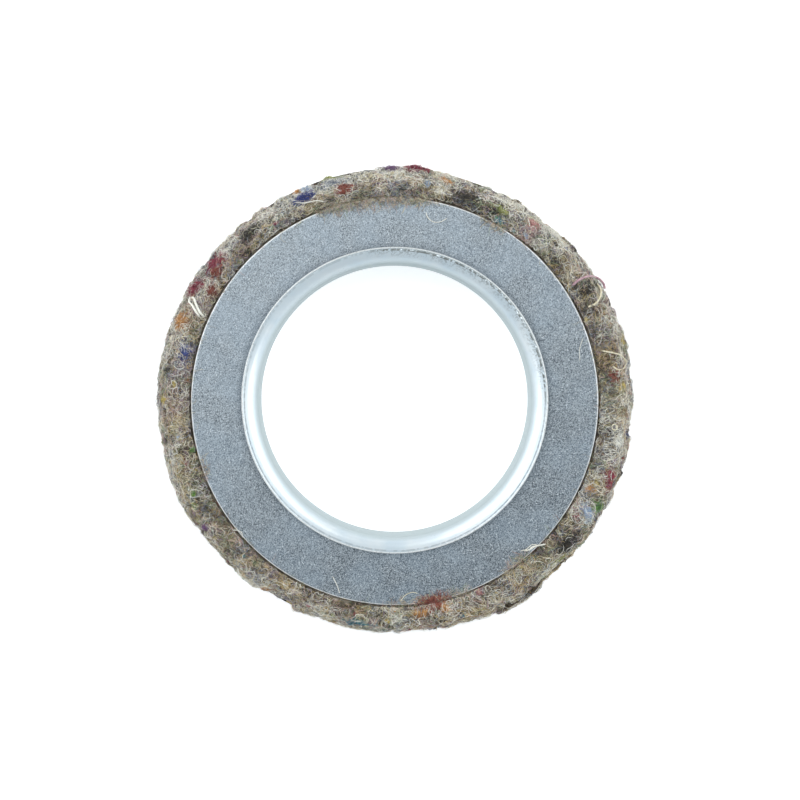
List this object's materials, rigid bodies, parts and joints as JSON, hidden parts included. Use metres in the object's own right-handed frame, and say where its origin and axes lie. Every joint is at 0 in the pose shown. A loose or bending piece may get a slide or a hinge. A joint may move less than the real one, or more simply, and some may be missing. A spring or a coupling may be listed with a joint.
{
  "type": "felt polishing wheel",
  "caption": "Thick felt ring pinched between two sheet-metal side plates on a flared bore sleeve, for polishing with its rim.",
  "frame": {"origin": "on the bore axis, where the two felt layers meet", "axes": "+Z along the bore axis, out of the flared side, which is up as the wheel lies flat; X and Y lie in the plane of the wheel"},
  "size_m": [0.15, 0.15, 0.0207],
  "materials": {
    "bright_zinc": "bright zinc plate, satin",
    "dull_zinc": "galvanised sheet, fine dull grain",
    "felt": "needled felt of mixed reclaimed fibres, fuzzy"
  },
  "bodies": {
    "root": {"hub_sleeve": "bright_zinc", "front_side_plate": "dull_zinc", "rear_side_plate": "dull_zinc", "front_felt_layer": "felt", "rear_felt_layer": "felt"}
  },
  "joints": []
}
